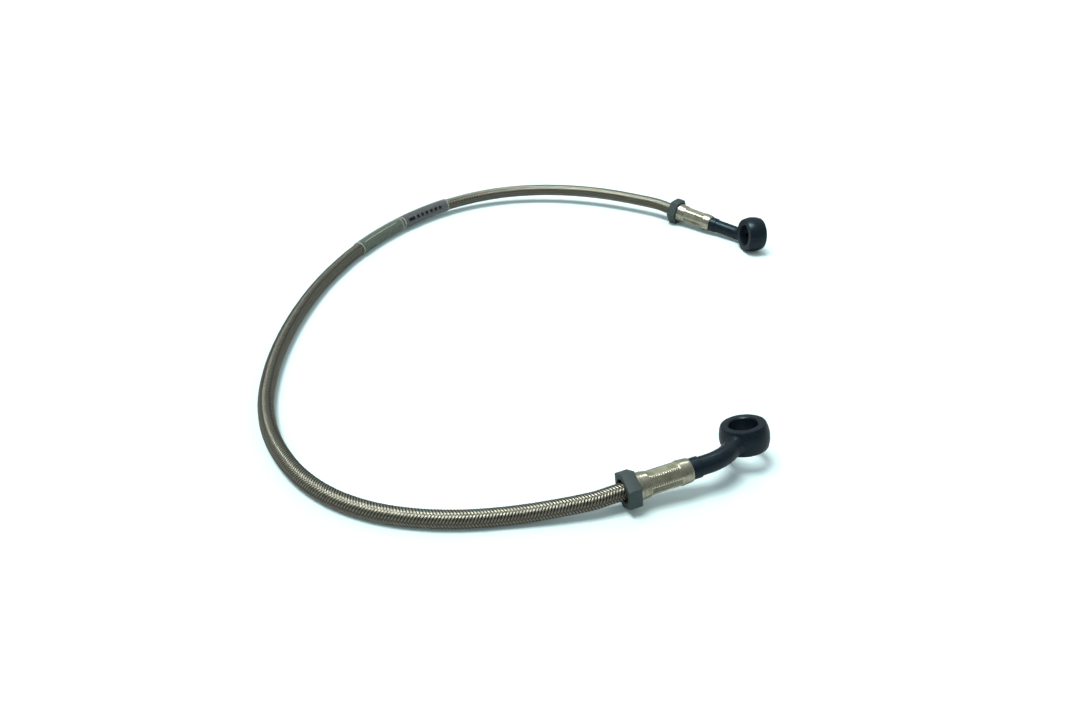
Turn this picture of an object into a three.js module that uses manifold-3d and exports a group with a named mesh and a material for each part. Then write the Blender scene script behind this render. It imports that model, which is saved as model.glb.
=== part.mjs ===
// Braided steel brake hose with a banjo eye crimped on each end.
// Millimetres, +Z up, the hose lying on the plane z = 0.

import * as THREE from 'three';
import { mergeVertices } from 'three/addons/utils/BufferGeometryUtils.js';
import ManifoldModule from 'manifold-3d';

const wasm = await ManifoldModule();
wasm.setup();

// Clearances between pieces
const CLEAR = {
  slide: 0.1, // liner in braid, nipple in liner
  shell: 0.15, // hose in ferrule, ferrule in collar
  seat: 0.1, // flat faces that bear on each other
  sleeve: 0.15, // sleeve over the faceted braid
};

// Hose section, from the fluid outwards
const HOSE = { bore: 3.2, linerWall: 0.75, braidWall: 0.65, sides: 12, steps: 60 };
const LINER_R = HOSE.bore / 2 + HOSE.linerWall;
const BRAID_BORE_R = LINER_R + CLEAR.slide;
const HOSE_R = BRAID_BORE_R + HOSE.braidWall;

// Room that the lying hose takes: x across, y deep
const LOOP = { width: 250, depth: 280 };
const LYING_Z = HOSE_R + 0.05;

// Banjo eye for an M10 hollow bolt: flat seats on both ends of a barrel
const EYE = { bore: 10.1, seat: 15.5, barrel: 17.4, height: 9.1, chamfer: 0.4 };

// Neck of the banjo: a round bar, bent once, with a drilled way for the fluid
const NECK = { od: 6.5, way: 1.6, rootSwell: 0.8, rootLength: 2.6 };
const SHOULDER = { od: 7.3, length: 3.3 };
const STEM = { od: 4.6 };
const NIPPLE = { length: 14, barbs: 4, barbDepth: 0.2 };

// Crimped ferrule, from its flared mouth to the lip behind the shoulder
const FERRULE = {
  length: 21.85,
  mouthOd: 9.8,
  mouthBell: 0.65, // how much wider the mouth is bored than the shell
  mouthLand: 2.4,
  flareLength: 4.1,
  od: 8.6,
  tipOd: 8.0,
  lip: 1.6,
};
const CRIMP = { flats: 8, acrossFlats: 8.1, length: 10.6 };

// Hexagonal collar pushed over the mouth of the ferrule
const COLLAR = { acrossFlats: 11.8, length: 4.6, hole: 7.5, pocket: 2.3, edge: 0.35 };

// Clear sleeves on the hose, measured along it from the rear collar
const SLEEVE = { wall: 0.25, sides: 20, steps: 6 };
const MARKED = { from: 135.5, length: 33 };
const CLEAR_TUBE = { apart: 1.5, length: 35 };
const SLEEVES = [
  { name: 'marked_sleeve', ...MARKED, color: 0x8c8894 },
  {
    name: 'clear_sleeve',
    from: MARKED.from + MARKED.length + CLEAR_TUBE.apart,
    length: CLEAR_TUBE.length,
    color: 0xa3ab98,
  },
];

// Each end: where the eye's centre lies, how its neck points, and the bend.
// heading and rise aim the neck out of the eye, roll turns the bore about it.
// turn is the side the neck bends to, 0 along the bore and 90 across it.
// beforeBend and afterBend run from the eye's centre and the ferrule's lip to
// the corner of the bend.
const FRONT = {
  name: 'front',
  eye: [0.1526 * LOOP.width, -0.425 * LOOP.depth, 10.45],
  heading: 220.7,
  rise: 2.4,
  roll: 15.4,
  bend: 36.3,
  bendRadius: 16,
  turn: -90.1,
  beforeBend: 18.2,
  afterBend: 11.7,
  collarTurn: -1.6,
};
const REAR = {
  name: 'rear',
  eye: [0.4807 * LOOP.width, 0.1682 * LOOP.depth, EYE.barrel / 2],
  heading: 90,
  rise: -25.5,
  roll: -90,
  bend: 45,
  bendRadius: 11,
  turn: -34.6,
  beforeBend: 10.9,
  afterBend: 18.9,
  collarTurn: 32.3,
};

// The way the hose lies between its two collars, chosen by hand, rear to front:
// shares of the loop's width and depth, and the lift above lying flat
const ROUTE = [
  [0.3227, 0.3878, 3.95],
  [0.2599, 0.4314, 4.05],
  [0.1895, 0.4653, 3.85],
  [0.1127, 0.4853, 3.45],
  [0.0431, 0.4896, 2.95],
  [-0.0281, 0.4793, 2.35],
  [-0.0989, 0.4543, 1.75],
  [-0.1565, 0.4228, 1.25],
  [-0.2109, 0.3821, 0.95],
  [-0.2621, 0.3343, 0.65],
  [-0.3089, 0.2803, 0.45],
  [-0.3505, 0.2218, 0.15],
  [-0.3873, 0.1593, 0.00],
  [-0.4181, 0.0939, 0.00],
  [-0.4437, 0.0275, 0.00],
  [-0.4641, -0.0393, 0.00],
  [-0.4785, -0.1050, 0.00],
  [-0.4865, -0.1800, 0.00],
  [-0.4817, -0.2486, 0.00],
  [-0.4649, -0.3089, 0.00],
  [-0.4401, -0.3586, 0.00],
  [-0.4041, -0.4018, 0.00],
  [-0.3581, -0.4350, 0.00],
  [-0.3053, -0.4575, 0.00],
  [-0.2505, -0.4707, 0.00],
  [-0.1937, -0.4772, 0.15],
  [-0.1429, -0.4814, 1.05],
];

const X = new THREE.Vector3(1, 0, 0);
const UP = new THREE.Vector3(0, 0, 1);
const rad = THREE.MathUtils.degToRad;

// Materials, each with the colour and finish of its piece
function material(color, roughness, metalness, opacity = 1) {
  const transparent = opacity < 1;
  return new THREE.MeshStandardMaterial({ color, roughness, metalness, opacity, transparent });
}
const blackSteel = () => material(0x14181c, 0.38, 0.75);
const nickel = () => material(0xb9b3a2, 0.3, 1.0);
const slatePlastic = () => material(0x39423f, 0.7, 0.0);
const braidSteel = () => material(0x8d8476, 0.42, 0.9);
const linerWhite = () => material(0xe8e8e4, 0.5, 0.0);

// Solid joins and cuts
function toManifold(geometry) {
  const bare = geometry.clone();
  bare.deleteAttribute('normal');
  bare.deleteAttribute('uv');
  const welded = mergeVertices(bare, 1e-4);
  const vertProperties = Float32Array.from(welded.attributes.position.array);
  const triVerts = Uint32Array.from(welded.index.array);
  return new wasm.Manifold(new wasm.Mesh({ numProp: 3, vertProperties, triVerts }));
}

function toGeometry(solid) {
  const { numProp, vertProperties, triVerts } = solid.getMesh();
  const position = new Float32Array((vertProperties.length / numProp) * 3);
  for (let i = 0; i < position.length / 3; i += 1) {
    position.set(vertProperties.subarray(i * numProp, i * numProp + 3), i * 3);
  }
  const geometry = new THREE.BufferGeometry();
  geometry.setAttribute('position', new THREE.BufferAttribute(position, 3));
  geometry.setIndex(new THREE.BufferAttribute(Uint32Array.from(triVerts), 1));
  geometry.computeVertexNormals();
  return geometry;
}

// Closed [radius, height] outline revolved about the Z axis
function revolve(outline, segments) {
  const area = outline.reduce((sum, [r, h], i) => {
    const [r2, h2] = outline[(i + 1) % outline.length];
    return sum + r * h2 - r2 * h;
  }, 0);
  const ordered = area > 0 ? outline : [...outline].reverse();
  const points = [...ordered, ordered[0]].map(([r, h]) => new THREE.Vector2(r, h));
  return new THREE.LatheGeometry(points, segments).rotateX(Math.PI / 2);
}

// The same outline revolved about the X axis
function revolveAlongX(outline, segments) {
  return revolve(outline, segments).rotateY(Math.PI / 2);
}

function polygon(target, radius, sides) {
  for (let i = 0; i < sides; i += 1) {
    const angle = (2 * Math.PI * i) / sides;
    const point = [radius * Math.cos(angle), radius * Math.sin(angle)];
    if (i === 0) target.moveTo(...point);
    else target.lineTo(...point);
  }
  target.closePath();
  return target;
}

// Bar or tube of a polygon section swept along a curve
function sweep(curve, outerR, innerR, sides, steps) {
  const section = polygon(new THREE.Shape(), outerR, sides);
  if (innerR > 0) section.holes.push(polygon(new THREE.Path(), innerR, sides));
  return new THREE.ExtrudeGeometry(section, { extrudePath: curve, steps, bevelEnabled: false });
}

// Centreline of a neck: straight along X from the eye, one bend, then straight
class NeckAxis extends THREE.Curve {
  constructor(end, from, pastFerrule) {
    super();
    this.bend = rad(end.bend);
    this.radius = end.bendRadius;
    this.tangentLength = this.radius * Math.tan(this.bend / 2);
    this.side = new THREE.Vector3(0, Math.sin(rad(end.turn)), Math.cos(rad(end.turn)));
    this.out = X.clone().multiplyScalar(Math.cos(this.bend));
    this.out.addScaledVector(this.side, Math.sin(this.bend));
    this.vertex = X.clone().multiplyScalar(end.beforeBend);
    this.from = from;
    this.first = end.beforeBend - this.tangentLength - from;
    this.arc = this.radius * this.bend;
    this.last = end.afterBend - this.tangentLength + pastFerrule;
  }

  getPoint(t, target = new THREE.Vector3()) {
    const s = t * (this.first + this.arc + this.last);
    if (s <= this.first) return target.set(this.from + s, 0, 0);
    if (s >= this.first + this.arc) {
      const run = this.tangentLength + s - this.first - this.arc;
      return target.copy(this.vertex).addScaledVector(this.out, run);
    }
    const angle = (s - this.first) / this.radius;
    target.set(this.from + this.first + this.radius * Math.sin(angle), 0, 0);
    return target.addScaledVector(this.side, this.radius * (1 - Math.cos(angle)));
  }
}

// Frames of one end: the eye's own, and the crimp's with X towards the eye
function framesOf(end) {
  const turn = new THREE.Euler(rad(end.roll), rad(-end.rise), rad(end.heading), 'ZYX');
  const eye = new THREE.Matrix4().makeRotationFromEuler(turn).setPosition(...end.eye);
  const { out, vertex } = new NeckAxis(end, 0, 0);
  const collarReach = end.afterBend + FERRULE.length + CLEAR.shell;
  const origin = vertex.clone().addScaledVector(out, collarReach).applyMatrix4(eye);
  const axis = out.clone().negate().transformDirection(eye);
  const side = new THREE.Vector3().crossVectors(UP, axis).normalize();
  const up = new THREE.Vector3().crossVectors(axis, side);
  const crimp = new THREE.Matrix4().makeBasis(axis, side, up).setPosition(origin);
  return { eye, crimp };
}

function barrelOutline() {
  const { bore, seat, barrel, height, chamfer } = EYE;
  const [rb, rs, h] = [bore / 2, seat / 2, height / 2];
  const crown = (barrel - seat) / 2;
  const arcR = (h * h + crown * crown) / (2 * crown);
  const outline = [[rb, h - chamfer], [rb, chamfer - h], [rb + chamfer, -h]];
  const facets = 6;
  for (let i = 0; i <= facets; i += 1) {
    const z = -h + (2 * h * i) / facets;
    outline.push([rs + crown - arcR + Math.sqrt(arcR * arcR - z * z), z]);
  }
  outline.push([rb + chamfer, h]);
  return outline;
}

// Shoulder, stem through the ferrule's lip, and barbed nipple, along X.
// Zero is the collar's centre and the outline runs from the neck to the tip.
function tailOutline() {
  const ferruleEnd = CLEAR.shell + FERRULE.length;
  const face = ferruleEnd + CLEAR.seat;
  const stemEnd = ferruleEnd - FERRULE.lip - CLEAR.seat;
  const tip = stemEnd - NIPPLE.length;
  const crest = (HOSE.bore / 2) * Math.cos(Math.PI / HOSE.sides) - CLEAR.slide;
  const wayR = NECK.way / 2;
  const outline = [
    [wayR, face + SHOULDER.length],
    [SHOULDER.od / 2 - 0.3, face + SHOULDER.length],
    [SHOULDER.od / 2, face + SHOULDER.length - 0.3],
    [SHOULDER.od / 2, face],
    [STEM.od / 2, face],
    [STEM.od / 2, stemEnd],
  ];
  const pitch = NIPPLE.length / NIPPLE.barbs;
  for (let i = 0; i < NIPPLE.barbs; i += 1) {
    const start = stemEnd - i * pitch;
    outline.push([crest, start - (i === 0 ? 0 : 0.01)]);
    outline.push([crest - NIPPLE.barbDepth, start - pitch + 0.01]);
  }
  outline.push([wayR, tip + 0.01]);
  return outline;
}

function banjoSolid(end, frames) {
  const toEye = frames.eye.clone().invert().multiply(frames.crimp);
  const boreR = EYE.bore / 2;
  const rootStart = boreR + 0.9;
  const neckR = NECK.od / 2;
  const neck = sweep(new NeckAxis(end, rootStart, -SHOULDER.length / 2), neckR, 0, 20, 14);
  const rootEnd = EYE.barrel / 2 + NECK.rootLength / 2;
  const root = [[0, rootStart], [neckR + NECK.rootSwell, rootStart]];
  const rings = 4;
  for (let i = 0; i <= rings; i += 1) {
    const u = i / rings;
    const swell = NECK.rootSwell * (1 - u) ** 2;
    root.push([neckR + swell, rootEnd - NECK.rootLength * (1 - u)]);
  }
  root.push([0, rootEnd]);
  const tail = revolveAlongX(tailOutline(), 20).applyMatrix4(toEye);
  const wayStart = new NeckAxis(end, boreR - 1.2, 0.6);
  const way = sweep(wayStart, NECK.way / 2, 0, 10, 16);
  const bar = toManifold(revolve(barrelOutline(), 40))
    .add(toManifold(neck))
    .add(toManifold(revolveAlongX(root, 20)));
  return toGeometry(bar.add(toManifold(tail)).subtract(toManifold(way)));
}

// Crimped shell along X: flared mouth, eight die flats, plain band and lip
function ferruleSolid() {
  const start = CLEAR.shell;
  const end = start + FERRULE.length;
  const shellR = HOSE_R + CLEAR.shell;
  const lipR = STEM.od / 2 + CLEAR.shell;
  const flareEnd = start + FERRULE.mouthLand + FERRULE.flareLength;
  const crimpEnd = flareEnd + CRIMP.length;
  const [mouthR, bodyR, tipR] = [FERRULE.mouthOd / 2, FERRULE.od / 2, FERRULE.tipOd / 2];
  const outline = [
    [mouthR, start],
    [mouthR, start + FERRULE.mouthLand],
    [mouthR - 0.25, start + FERRULE.mouthLand + FERRULE.flareLength * 0.3],
    [bodyR + 0.12, flareEnd - FERRULE.flareLength * 0.2],
    [bodyR, flareEnd],
    [bodyR, crimpEnd],
    [tipR, end - 0.5],
    [tipR - 0.4, end],
    [lipR, end],
    [lipR, end - FERRULE.lip],
    [shellR, end - FERRULE.lip],
    [shellR, flareEnd],
    [shellR + FERRULE.mouthBell, start + FERRULE.mouthLand / 2],
    [shellR + FERRULE.mouthBell, start],
  ];
  let shell = toManifold(revolveAlongX(outline, 32));
  const die = new THREE.BoxGeometry(CRIMP.length, FERRULE.od, FERRULE.od);
  die.translate(flareEnd + CRIMP.length / 2, 0, (CRIMP.acrossFlats + FERRULE.od) / 2);
  for (let i = 0; i < CRIMP.flats; i += 1) {
    const pad = die.clone().rotateX((2 * Math.PI * (i + 0.5)) / CRIMP.flats);
    shell = shell.subtract(toManifold(pad));
  }
  return toGeometry(shell);
}

// Hexagonal ring along X, a corner up, pocketed for the ferrule's mouth
function collarSolid() {
  const { acrossFlats, length, hole, pocket, edge } = COLLAR;
  const hexR = acrossFlats / Math.sqrt(3);
  const hexagon = polygon(new THREE.Shape(), hexR - edge, 6);
  const prism = new THREE.ExtrudeGeometry(hexagon, {
    depth: length - 2 * edge,
    bevelThickness: edge,
    bevelSize: edge * Math.cos(Math.PI / 6),
    bevelSegments: 2,
  });
  prism.translate(0, 0, edge - length / 2).rotateY(Math.PI / 2);
  const pocketR = FERRULE.mouthOd / 2 + CLEAR.shell;
  const ledge = length / 2 - pocket;
  const cut = [
    [0, -length],
    [hole / 2, -length],
    [hole / 2, ledge],
    [pocketR, ledge],
    [pocketR, length],
    [0, length],
  ];
  return toGeometry(toManifold(prism).subtract(toManifold(revolveAlongX(cut, 32))));
}

// Stretch of the hose's curve between two lengths measured from its rear end
class HoseSpan extends THREE.Curve {
  constructor(hose, from, length) {
    super();
    const whole = hose.getLength();
    this.hose = hose;
    this.start = from / whole;
    this.share = length / whole;
  }

  getPoint(t, target = new THREE.Vector3()) {
    return this.hose.getPointAt(this.start + this.share * t, target);
  }
}

function hoseCurve(rear, front) {
  const hoseEnd = CLEAR.shell + FERRULE.length - FERRULE.lip - 2 * CLEAR.shell;
  const straight = [hoseEnd, hoseEnd / 2, 0, -6, -12];
  const onAxis = (frames, x) => new THREE.Vector3(x, 0, 0).applyMatrix4(frames.crimp);
  const lead = straight.map((x) => onAxis(rear, x));
  const tail = straight.map((x) => onAxis(front, x)).reverse();
  const route = ROUTE.map(([across, deep, lift]) => (
    new THREE.Vector3(across * LOOP.width, deep * LOOP.depth, LYING_Z + lift)
  ));
  const points = [...lead, ...route, ...tail];
  const curve = new THREE.CatmullRomCurve3(points, false, 'centripetal');
  curve.arcLengthDivisions = 2000;
  return { curve, hoseEnd };
}

const part = new THREE.Group();

function addPiece(parent, name, geometry, finish) {
  const mesh = new THREE.Mesh(geometry, finish);
  mesh.name = name;
  parent.add(mesh);
  return mesh;
}

function placedGroup(matrix) {
  const group = new THREE.Group();
  matrix.decompose(group.position, group.quaternion, group.scale);
  part.add(group);
  return group;
}

function addEnd(end) {
  const frames = framesOf(end);
  addPiece(placedGroup(frames.eye), `${end.name}_banjo`, banjoSolid(end, frames), blackSteel());
  const crimped = placedGroup(frames.crimp);
  addPiece(crimped, `${end.name}_ferrule`, ferruleSolid(), nickel());
  const collar = addPiece(crimped, `${end.name}_collar`, collarSolid(), slatePlastic());
  collar.rotation.x = rad(end.collarTurn);
  return frames;
}

const rearFrames = addEnd(REAR);
const frontFrames = addEnd(FRONT);
const { curve, hoseEnd } = hoseCurve(rearFrames, frontFrames);

const liner = sweep(curve, LINER_R, HOSE.bore / 2, HOSE.sides, HOSE.steps);
const braid = sweep(curve, HOSE_R, BRAID_BORE_R, HOSE.sides, HOSE.steps);
addPiece(part, 'hose_liner', liner, linerWhite());
addPiece(part, 'steel_braid', braid, braidSteel());

for (const { name, from, length, color } of SLEEVES) {
  const span = new HoseSpan(curve, hoseEnd + from, length);
  const innerR = HOSE_R + CLEAR.sleeve;
  const tube = sweep(span, innerR + SLEEVE.wall, innerR, SLEEVE.sides, SLEEVE.steps);
  addPiece(part, name, tube, material(color, 0.3, 0.0, 0.6));
}

export default part;
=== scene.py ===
"""Looks of a braided steel brake hose with a banjo eye crimped on each end.

All sizes in the classes are millimetres in the row frame of the CAD part, and
become metres only where a mesh, a lamp or the camera is made. Lengths named
*_m are metres. Angles in fields are degrees.
"""

import logging
import math
from dataclasses import dataclass, field
from enum import Enum

import bpy
import numpy as np
from mathutils import Euler, Matrix, Vector

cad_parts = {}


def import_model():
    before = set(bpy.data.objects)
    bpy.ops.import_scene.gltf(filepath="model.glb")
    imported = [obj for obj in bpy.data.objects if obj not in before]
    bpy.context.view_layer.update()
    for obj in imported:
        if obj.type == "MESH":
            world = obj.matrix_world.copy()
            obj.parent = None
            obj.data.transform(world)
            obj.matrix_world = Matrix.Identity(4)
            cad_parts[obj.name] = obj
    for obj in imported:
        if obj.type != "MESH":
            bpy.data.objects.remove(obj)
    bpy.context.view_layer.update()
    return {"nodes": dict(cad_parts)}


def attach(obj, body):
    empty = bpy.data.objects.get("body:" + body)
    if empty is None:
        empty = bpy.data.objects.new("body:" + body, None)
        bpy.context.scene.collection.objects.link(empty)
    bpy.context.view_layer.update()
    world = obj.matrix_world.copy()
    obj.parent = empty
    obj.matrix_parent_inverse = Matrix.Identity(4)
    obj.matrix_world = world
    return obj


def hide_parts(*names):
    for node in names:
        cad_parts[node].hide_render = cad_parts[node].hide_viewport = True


LOG = logging.getLogger("brake_hose")
MM = 0.001
BODY = "root"
Rgb = tuple[float, float, float]
Triple = tuple[float, float, float]
Span = tuple[float, float, float, float]
Socket = bpy.types.NodeSocket


# Layout of the part. The values are those of the CAD source, but here the
# collars' hole is wider, the dies are turned to where their ridges shine and
# the sleeves sit a little nearer the middle of the hose.


@dataclass(frozen=True)
class Loop:
    """Room that the lying hose takes, and the way it lies in it."""

    width: float = 250.0
    depth: float = 280.0
    lying_z: float = 3.15
    route: tuple[Triple, ...] = (
        (0.3227, 0.3878, 3.95),
        (0.2599, 0.4314, 4.05),
        (0.1895, 0.4653, 3.85),
        (0.1127, 0.4853, 3.45),
        (0.0431, 0.4896, 2.95),
        (-0.0281, 0.4793, 2.35),
        (-0.0989, 0.4543, 1.75),
        (-0.1565, 0.4228, 1.25),
        (-0.2109, 0.3821, 0.95),
        (-0.2621, 0.3343, 0.65),
        (-0.3089, 0.2803, 0.45),
        (-0.3505, 0.2218, 0.15),
        (-0.3873, 0.1593, 0.00),
        (-0.4181, 0.0939, 0.00),
        (-0.4437, 0.0275, 0.00),
        (-0.4641, -0.0393, 0.00),
        (-0.4785, -0.1050, 0.00),
        (-0.4865, -0.1800, 0.00),
        (-0.4817, -0.2486, 0.00),
        (-0.4649, -0.3089, 0.00),
        (-0.4401, -0.3586, 0.00),
        (-0.4041, -0.4018, 0.00),
        (-0.3581, -0.4350, 0.00),
        (-0.3053, -0.4575, 0.00),
        (-0.2505, -0.4707, 0.00),
        (-0.1937, -0.4772, 0.15),
        (-0.1429, -0.4814, 1.05),
    )

    def points(self) -> np.ndarray:
        """Route points in millimetres, rear to front."""
        scale = np.array([self.width, self.depth, 1.0])
        return np.array(self.route) * scale + np.array([0.0, 0.0, self.lying_z])


@dataclass(frozen=True)
class HoseSizes:
    """Section of the hose and how far it runs into each ferrule."""

    radius: float = 3.1
    braid_bore: float = 2.45
    hidden_end: float = 20.1
    leads: tuple[float, ...] = (20.1, 10.05, 0.0, -6.0, -12.0)


@dataclass(frozen=True)
class FerruleSizes:
    """Crimped shell, measured along X from the collar's centre."""

    start: float = 0.15
    length: float = 21.85
    mouth_radius: float = 4.9
    mouth_land: float = 2.4
    flare_length: float = 4.1
    radius: float = 4.3
    tip_radius: float = 4.0
    lip: float = 1.6
    bore: float = 3.25
    mouth_bell: float = 0.65
    lip_bore: float = 2.45
    flats: int = 8
    flat_reach: float = 4.05
    crimp_length: float = 10.6
    tick_pitch: float = 0.82
    tick_height: float = 0.09
    die_edge: float = 0.3
    ridge_spread: float = 5.0
    dent: float = 0.02

    @property
    def end(self) -> float:
        """Where the shell's lip ends."""
        return self.start + self.length

    @property
    def flare_end(self) -> float:
        """Where the flare has come down to the shell's own radius."""
        return self.start + self.mouth_land + self.flare_length

    @property
    def crimp_end(self) -> float:
        """Where the die flats end."""
        return self.flare_end + self.crimp_length


@dataclass(frozen=True)
class CollarSizes:
    """Hexagonal collar round the ferrule's mouth, along X."""

    across_flats: float = 11.8
    length: float = 4.6
    hole: float = 8.1
    hole_edge: float = 0.2
    pocket: float = 2.3
    pocket_radius: float = 5.05
    pocket_edge: float = 0.1
    edge: float = 0.35
    corner_cut: float = 0.0775


@dataclass(frozen=True)
class BanjoSizes:
    """Eye, neck, shoulder, stem and barbed nipple of one forging.

    Only seat_gap isn't a size of the forging: it is the room left between the
    shell's lip and the shoulder, and between the lip and the nipple.
    """

    bore: float = 10.1
    seat: float = 15.5
    barrel: float = 17.4
    height: float = 9.1
    chamfer: float = 0.4
    neck: float = 6.5
    root_swell: float = 0.8
    root_length: float = 2.6
    shoulder: float = 7.3
    shoulder_length: float = 3.3
    stem: float = 4.6
    way: float = 1.6
    seat_gap: float = 0.1
    nipple_length: float = 14.0
    nipple_crest: float = 1.445
    barbs: int = 4
    barb_depth: float = 0.2


@dataclass(frozen=True)
class EndLayout:
    """Where one end's eye lies, how its neck points and bends.

    heading and rise aim the neck out of the eye and roll turns the bore about
    it. turn is the side the neck bends to, 0 along the bore and 90 across it.
    before_bend and after_bend run from the eye's centre and from the shell's
    lip to the corner of the bend. All angles are degrees.
    """

    name: str
    eye: Triple
    heading: float
    rise: float
    roll: float
    bend: float
    bend_radius: float
    turn: float
    before_bend: float
    after_bend: float
    collar_turn: float
    crimp_turn: float

    def eye_matrix(self) -> Matrix:
        """Eye frame: X out of the neck's side, Z along the bore.

        Returns:
            Matrix of the frame, in millimetres.
        """
        angles = (math.radians(a) for a in (self.roll, -self.rise, self.heading))
        turn = Euler(tuple(angles), "XYZ").to_matrix().to_4x4()
        return Matrix.Translation(Vector(self.eye)) @ turn

    @property
    def cut(self) -> float:
        """How far before its corner the bend starts."""
        return self.bend_radius * math.tan(math.radians(self.bend) / 2)

    def side(self) -> Vector:
        """Side the neck bends to, in the eye frame."""
        turn = math.radians(self.turn)
        return Vector((0.0, math.sin(turn), math.cos(turn)))

    def out(self) -> Vector:
        """Direction of the neck after its bend, in the eye frame."""
        bend = math.radians(self.bend)
        return Vector((math.cos(bend), 0.0, 0.0)) + self.side() * math.sin(bend)

    def crimp_matrix(self) -> Matrix:
        """Crimp frame: origin at the collar's centre, X towards the eye.

        Returns:
            Matrix of the frame, in millimetres.
        """
        eye = self.eye_matrix()
        sizes = FerruleSizes()
        reach = self.after_bend + sizes.end
        origin = eye @ (Vector((self.before_bend, 0.0, 0.0)) + self.out() * reach)
        axis = -(eye.to_3x3() @ self.out())
        axis.normalize()
        across = Vector((0.0, 0.0, 1.0)).cross(axis).normalized()
        up = axis.cross(across)
        turn = Matrix((axis, across, up)).transposed().to_4x4()
        return Matrix.Translation(origin) @ turn


LOOP = Loop()
REAR = EndLayout(
    name="rear",
    eye=(0.4807 * LOOP.width, 0.1682 * LOOP.depth, BanjoSizes().barrel / 2),
    heading=90,
    rise=-25.5,
    roll=-90,
    bend=45,
    bend_radius=11,
    turn=-34.6,
    before_bend=10.9,
    after_bend=18.9,
    collar_turn=32.3,
    crimp_turn=40.0,
)
FRONT = EndLayout(
    name="front",
    eye=(0.1526 * LOOP.width, -0.425 * LOOP.depth, 10.45),
    heading=220.7,
    rise=2.4,
    roll=15.4,
    bend=36.3,
    bend_radius=16,
    turn=-90.1,
    before_bend=18.2,
    after_bend=11.7,
    collar_turn=-1.6,
    crimp_turn=27.0,
)


class HosePath:
    """Centreline of the hose with a frame that doesn't twist along it."""

    STEP = 0.25
    PER_SPAN = 60

    def __init__(self, control: np.ndarray, row_side: Triple, row_at: float) -> None:
        """Makes the line through the control points.

        Args:
            control: Points in millimetres, rear to front.
            row_side: Direction that angle zero faces at row_at.
            row_at: Share of the length where angle zero is set.
        """
        dense = self._through(control, self.PER_SPAN)
        along = self._lengths(dense)
        count = int(along[-1] / self.STEP) + 1
        self.length = float(along[-1])
        self.s = np.linspace(0.0, self.length, count)
        self.centre = self._sample(self.s, along, dense)
        tangent = np.gradient(self.centre, axis=0)
        self.tangent = tangent / np.linalg.norm(tangent, axis=1)[:, None]
        self._carry_frame(np.array(row_side), int(row_at * (count - 1)))

    @staticmethod
    def _lengths(points: np.ndarray) -> np.ndarray:
        """Length along a line at each of its points."""
        steps = np.linalg.norm(np.diff(points, axis=0), axis=1)
        return np.concatenate([[0.0], np.cumsum(steps)])

    @staticmethod
    def _sample(at: np.ndarray, along: np.ndarray, values: np.ndarray) -> np.ndarray:
        """Vectors read from a table at the lengths given."""
        return np.stack([np.interp(at, along, values[:, k]) for k in range(3)], axis=-1)

    @staticmethod
    def _through(control: np.ndarray, per_span: int) -> np.ndarray:
        """Centripetal spline through the control points.

        Args:
            control: Points that the line passes through.
            per_span: Points made in each span.

        Returns:
            Dense points along the spline.
        """
        ends = (2 * control[0] - control[1], 2 * control[-1] - control[-2])
        p = np.vstack([ends[0], control, ends[1]])
        knots = np.linalg.norm(np.diff(p, axis=0), axis=1) ** 0.5
        t = np.linspace(0.0, 1.0, per_span, endpoint=False)[:, None]
        spans = []
        for i in range(1, len(p) - 2):
            d0, d1, d2 = knots[i - 1], knots[i], knots[i + 1]
            a, b, c, d = p[i - 1], p[i], p[i + 1], p[i + 2]
            leave = ((b - a) / d0 - (c - a) / (d0 + d1) + (c - b) / d1) * d1
            reach = ((c - b) / d1 - (d - b) / (d1 + d2) + (d - c) / d2) * d1
            cubic = 2 * b - 2 * c + leave + reach
            square = -3 * b + 3 * c - 2 * leave - reach
            spans.append(b + leave * t + square * t**2 + cubic * t**3)
        return np.vstack([*spans, control[-1:]])

    def _carry_frame(self, side: np.ndarray, start: int) -> None:
        """Carries one normal along the line both ways without twist.

        Args:
            side: Direction that the normal faces at the start.
            start: Index of the point where it starts.
        """
        normal = np.zeros_like(self.tangent)
        first = side - self.tangent[start] * (side @ self.tangent[start])
        normal[start] = first / np.linalg.norm(first)
        for step, stop in ((1, len(normal)), (-1, -1)):
            for i in range(start + step, stop, step):
                n = normal[i - step] - self.tangent[i] * (normal[i - step] @ self.tangent[i])
                normal[i] = n / np.linalg.norm(n)
        self.normal = normal
        self.other = np.cross(self.tangent, normal)

    def wrap(self, s: np.ndarray, angle: np.ndarray, radius: np.ndarray) -> np.ndarray:
        """Points round the line.

        Args:
            s: Length along the line of each point.
            angle: Angle round the line, in radians.
            radius: Distance from the line.

        Returns:
            Points in millimetres, with one more axis than the inputs.
        """
        s = np.clip(s, 0.0, self.length)
        centre = self._sample(s, self.s, self.centre)
        normal = self._sample(s, self.s, self.normal)
        other = self._sample(s, self.s, self.other)
        cos, sin = np.cos(angle)[..., None], np.sin(angle)[..., None]
        return centre + radius[..., None] * (cos * normal + sin * other)


# Mesh making


def put_in_scene(name: str, data: bpy.types.ID) -> bpy.types.Object:
    """Makes an object of a mesh, lamp or camera and links it to the scene.

    Args:
        name: Name of the object.
        data: What it shows.

    Returns:
        The object.
    """
    made = bpy.data.objects.new(name, data)
    bpy.context.scene.collection.objects.link(made)
    return made


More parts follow.
